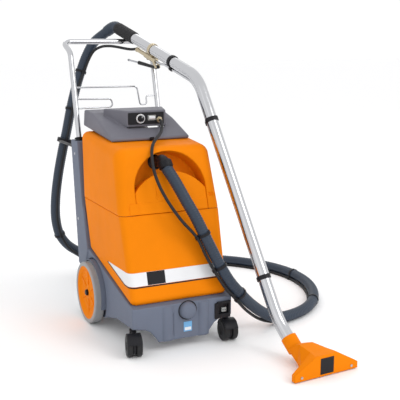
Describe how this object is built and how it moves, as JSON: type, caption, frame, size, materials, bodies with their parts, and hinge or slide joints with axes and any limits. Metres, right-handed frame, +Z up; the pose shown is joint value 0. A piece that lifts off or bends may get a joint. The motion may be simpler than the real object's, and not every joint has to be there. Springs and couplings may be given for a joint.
{
  "type": "spot extractor",
  "caption": "Wheeled spray-extraction cleaner with stacked tanks, suction head, push handle, castors, a hose loop and a parked wand with a floor tool.",
  "frame": {"origin": "on the floor, under the middle of the bounding box of everything but the free hoses", "axes": "+Z up, -Y towards the machine's front and the floor tool, +X to the machine's left-hand side as it faces forward (the hose loop's side)"},
  "size_m": [0.9327, 1.3161, 1.0188],
  "materials": {
    "orange": "moulded, low gloss",
    "slate": "moulded, matt blue-grey",
    "grey": "moulded, matt grey",
    "black": "moulded, satin",
    "light_grey": "moulded",
    "white": "printed or moulded",
    "sky": "printed plate, left blank",
    "rubber": "soft rubber",
    "hose": "ribbed flexible hose",
    "tyre": "light grey non-marking rubber",
    "tyre_black": "hard rubber",
    "chrome": "polished tube",
    "pan_steel": "plated sheet and bar",
    "brass": "dull nickel-tinted brass"
  },
  "bodies": {
    "machine": {"chassis_shell": "slate", "back_panel": "slate", "floor_pan": "pan_steel", "wheel_axle": "pan_steel", "axle_caps": "black", "solution_tank": "orange", "stripe_band": "white", "badge_plate": "black", "recovery_tank": "orange", "filler_cover": "orange", "head_cover": "grey", "head_base": "black", "head_gasket": "rubber", "control_panel": "black", "dial_ring": "white", "solution_coupling": "brass", "inlet_elbow": "hose", "inlet_pipe": "light_grey", "vacuum_motor": "pan_steel", "float_cage": "light_grey", "pump": "pan_steel", "internal_hoses": "hose", "solution_filter": "light_grey", "drain_valve": "black", "accessory_socket": "black", "label_plate": "sky", "push_handle": "chrome", "handle_bushes": "black", "wire_rack": "chrome", "hose_hook": "black", "wand_tube": "chrome", "solution_line": "chrome", "wand_clips": "black", "grip_cuff": "rubber", "hose_cuff": "hose", "spray_valve": "brass", "tool_hood": "orange", "tool_front_plate": "orange", "suction_lip": "rubber", "spray_nozzle": "brass", "vacuum_hose": "hose", "solution_hose": "rubber", "hose_bands": "black", "case_screws": "pan_steel", "latch_pin": "black"},
    "left_wheel": {"tyre_left": "tyre", "wheel_disc_left": "orange"},
    "right_wheel": {"tyre_right": "tyre", "wheel_disc_right": "orange"},
    "left_castor": {"castor_fork_left": "black"},
    "right_castor": {"castor_fork_right": "black"},
    "left_castor_wheels": {"castor_wheels_left": "tyre_black"},
    "right_castor_wheels": {"castor_wheels_right": "tyre_black"},
    "dial": {"dial_knob": "black"},
    "rocker": {"rocker_switch": "white"},
    "spray_lever": {"valve_lever": "black"},
    "drain_plug": {"drain_knob": "black"},
    "float": {"float_ball": "white"},
    "fan": {"motor_rotor": "pan_steel"}
  },
  "joints": [
    {"name": "left_wheel_roll", "type": "hinge", "parent": "machine", "child": "left_wheel", "pos_m": [-0.2815, 0.135, 0.105], "axis": [1, 0, 0], "continuous": true},
    {"name": "right_wheel_roll", "type": "hinge", "parent": "machine", "child": "right_wheel", "pos_m": [0.0915, 0.135, 0.105], "axis": [1, 0, 0], "continuous": true},
    {"name": "left_castor_swivel", "type": "hinge", "parent": "machine", "child": "left_castor", "pos_m": [-0.255, -0.197, 0.09], "axis": [0, 0, 1], "continuous": true},
    {"name": "right_castor_swivel", "type": "hinge", "parent": "machine", "child": "right_castor", "pos_m": [0.065, -0.197, 0.09], "axis": [0, 0, 1], "continuous": true},
    {"name": "left_castor_roll", "type": "hinge", "parent": "left_castor", "child": "left_castor_wheels", "pos_m": [-0.26081, -0.22029, 0.0335], "axis": [0.9703, -0.2419, 0], "continuous": true},
    {"name": "right_castor_roll", "type": "hinge", "parent": "right_castor", "child": "right_castor_wheels", "pos_m": [0.06333, -0.22094, 0.0335], "axis": [0.9976, -0.0698, 0], "continuous": true},
    {"name": "dial_turn", "type": "hinge", "parent": "machine", "child": "dial", "pos_m": [-0.108, 0.085, 0.695], "axis": [0, 1, 0], "range_deg": [0, 270]},
    {"name": "rocker_press", "type": "hinge", "parent": "machine", "child": "rocker", "pos_m": [-0.068, 0.085, 0.697], "axis": [1, 0, 0], "range_deg": [0, 16]},
    {"name": "spray_lever_pull", "type": "hinge", "parent": "machine", "child": "spray_lever", "pos_m": [0.02006, 0.23914, 0.85772], "axis": [0.9799, 0.1994, 0], "range_deg": [0, 8], "stiffness_Nm_per_rad": 1.2, "springref_deg": -10},
    {"name": "drain_plug_turn", "type": "hinge", "parent": "machine", "child": "drain_plug", "pos_m": [-0.081, -0.223, 0.122], "axis": [0, -1, 0], "range_deg": [0, 90]},
    {"name": "float_rise", "type": "slide", "parent": "machine", "child": "float", "axis": [0, 0, 1], "range_m": [0, 0.047]},
    {"name": "fan_spin", "type": "hinge", "parent": "machine", "child": "fan", "pos_m": [-0.095, 0.207, 0.675], "axis": [0, 0, 1], "continuous": true}
  ]
}
